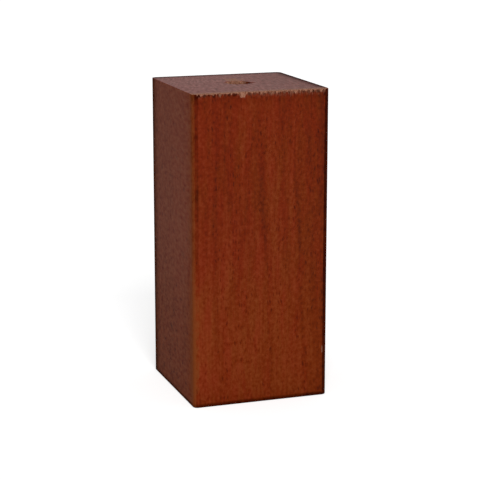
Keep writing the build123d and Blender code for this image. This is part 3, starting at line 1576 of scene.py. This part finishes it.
@dataclass(frozen=True)
class Studio:
    """The plain pale room, its soft lamp and the camera.

    The floor is a pale disc, and the world beyond it is white to the eye. The lamp stands high in front, a
    little to the left.
    """

    azimuth: float = -19.06
    pitch: float = 12.83
    distance: float = 530.1 * MM
    aside: float = 0.57 * MM
    above: float = -1.67 * MM
    lens: float = 121.51
    sensor: float = 36.0
    nearest_seen: float = 10.0 * MM
    floor_radii: tuple[float, ...] = (0.03, 0.1, 0.3, 0.8, 2.0, 5.0)
    floor_sides: int = 96
    floor_shade: float = 0.80
    floor_white: float = 1.10
    ambient: float = 0.35
    lamp_direction: tuple[float, float, float] = (-0.178, -0.785, 0.593)
    lamp_distance: float = 2.0
    lamp_power: float = 26.5
    lamp_size: float = 0.8

    def build(self, target: Vector) -> None:
        """Makes the floor, the world, the lamp and the camera.

        Args:
            target: the middle of the foot.
        """
        lamp_place = target + Vector(self.lamp_direction).normalized() * self.lamp_distance
        self._floor(lamp_place, target)
        self._world()
        self._lamp(lamp_place, target)
        self._camera(target)

    def _floor(self, lamp_place: Vector, target: Vector) -> None:
        """The floor: circles of growing radius about the origin, in one flat skin.

        Its columns go round by the clock from above, so that it faces up.

        Args:
            lamp_place: where the lamp stands.
            target: what it faces.
        """
        angle = np.linspace(0.0, -2.0 * math.pi, self.floor_sides, endpoint=False)
        circle = np.stack([np.cos(angle), np.sin(angle), 0.0 * angle], axis=1)
        rings = np.array(self.floor_radii)[:, None, None] * circle[None]
        vertices = np.concatenate([np.zeros((1, 3)), rings.reshape(-1, 3)])
        mesh = mesh_from("pale_floor_mesh", vertices, open_skin(*rings.shape[:2]))
        mesh.materials.append(self._floor_paint(lamp_place, target))
        floor = in_scene("pale_floor", mesh)

    def _floor_paint(self, lamp_place: Vector, target: Vector) -> bpy.types.Material:
        """Pale matt paint. To the eye and in reflections it is lifted to an even white, less its shadow.

        The lift is what white lacks at each place: white, less the paint's shade times the light there,
        which is the ambient light and the lamp's. The lamp's falls with the fourth power of its distance,
        times its height and the way that it faces.

        Args:
            lamp_place: where the lamp stands.
            target: what it faces.

        Returns:
            The paint.
        """
        made, graph = new_material("pale_paint")
        x, y, _ = graph.place(1.0)
        facing = (target - lamp_place).normalized()
        east, north = x - lamp_place.x, y - lamp_place.y
        square = east * east + north * north + lamp_place.z**2
        ahead = east * facing.x + north * facing.y - lamp_place.z * facing.z
        strength = self.lamp_power / math.pi**2 * lamp_place.z
        from_lamp = ahead * strength / (square * square)
        lift = self.floor_white - (from_lamp + self.ambient) * self.floor_shade
        shade = (self.floor_shade, self.floor_shade, self.floor_shade)
        diffuse = graph.node("ShaderNodeBsdfDiffuse", None, {"Color": shade})
        colour = graph.vector(lift, lift, lift)
        glow = graph.node("ShaderNodeEmission", None, {"Color": colour, "Strength": seen_directly(graph)})
        both = graph.node("ShaderNodeAddShader", None, {0: diffuse.outputs[0], 1: glow.outputs[0]})
        graph.node("ShaderNodeOutputMaterial", None, {"Surface": both.outputs[0]})
        return made

    def _world(self) -> None:
        """White where it is seen, and the soft fill light of the room elsewhere."""
        world = bpy.data.worlds.new("soft_room")
        world.use_nodes = True
        bpy.context.scene.world = world
        graph = Graph(world.node_tree)
        strength = seen_directly(graph) * (1.0 - self.ambient) + self.ambient
        sky = graph.node("ShaderNodeBackground", None, {"Color": WHITE, "Strength": strength})
        graph.node("ShaderNodeOutputWorld", None, {"Surface": sky.outputs[0]})

    def _lamp(self, place: Vector, target: Vector) -> None:
        """A square soft lamp that faces the foot.

        Args:
            place: where it stands.
            target: what it faces.
        """
        light = bpy.data.lights.new("soft_lamp", "AREA")
        light.energy = self.lamp_power
        light.size = self.lamp_size
        lamp = in_scene("soft_lamp", light)
        lamp.location = place
        lamp.rotation_euler = (target - place).to_track_quat("-Z", "Y").to_euler()

    def _camera(self, target: Vector) -> None:
        """The camera, looking down a little from the front left.

        Args:
            target: the middle of the foot.
        """
        turn, tilt = math.radians(self.azimuth), math.radians(self.pitch)
        away = Vector((-math.sin(turn) * math.cos(tilt), math.cos(turn) * math.cos(tilt), -math.sin(tilt)))
        right = Vector((math.cos(turn), math.sin(turn), 0.0))
        up = right.cross(away)
        data = bpy.data.cameras.new("camera")
        data.lens = self.lens
        data.sensor_width = self.sensor
        data.clip_start = self.nearest_seen
        camera = in_scene("camera", data)
        place = target - away * self.distance + right * self.aside + up * self.above
        turned = Matrix((right, up, -away)).transposed().to_4x4()
        camera.matrix_world = Matrix.Translation(place) @ turned
        bpy.context.scene.camera = camera


def seen_directly(graph: Graph) -> Value:
    """1 for a ray from the camera, a reflection or glass, and 0 for light on its way to a surface.

    Args:
        graph: the nodes of the material or the world.

    Returns:
        The number.
    """
    path = graph.node("ShaderNodeLightPath").outputs
    kinds = ("Is Camera Ray", "Is Glossy Ray", "Is Transmission Ray")
    camera, glossy, through = (Value(graph, path[kind]) for kind in kinds)
    return graph.math("MINIMUM", camera + glossy + through, 1.0)


def bore_of(record: dict) -> BoreMouth:
    """The pilot bore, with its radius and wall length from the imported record's mount."""
    dims = next(mount["dims"] for mount in record["mounts"] if mount["name"] == "pilot_bore")
    return BoreMouth(dims["r_mm"] * MM, dims["length_mm"] * MM)


def main() -> None:
    """Builds the foot and its studio in order, and reports each piece."""
    logging.basicConfig(level=logging.INFO, format="%(name)s: %(message)s")
    bpy.context.scene.view_settings.view_transform = "Standard"
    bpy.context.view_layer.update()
    low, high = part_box("foot_block")
    block = FootBlock(low, high, bore_of(frame["record"])).build(StainedBeech())
    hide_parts("foot_block")
    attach(block, "root")
    LOG.info("%s: %d points, %d faces", block.name, len(block.data.vertices), len(block.data.polygons))
    Studio().build((low + high) / 2)
    LOG.info("studio: floor, world, lamp and camera")


if __name__ == "__main__":
    main()
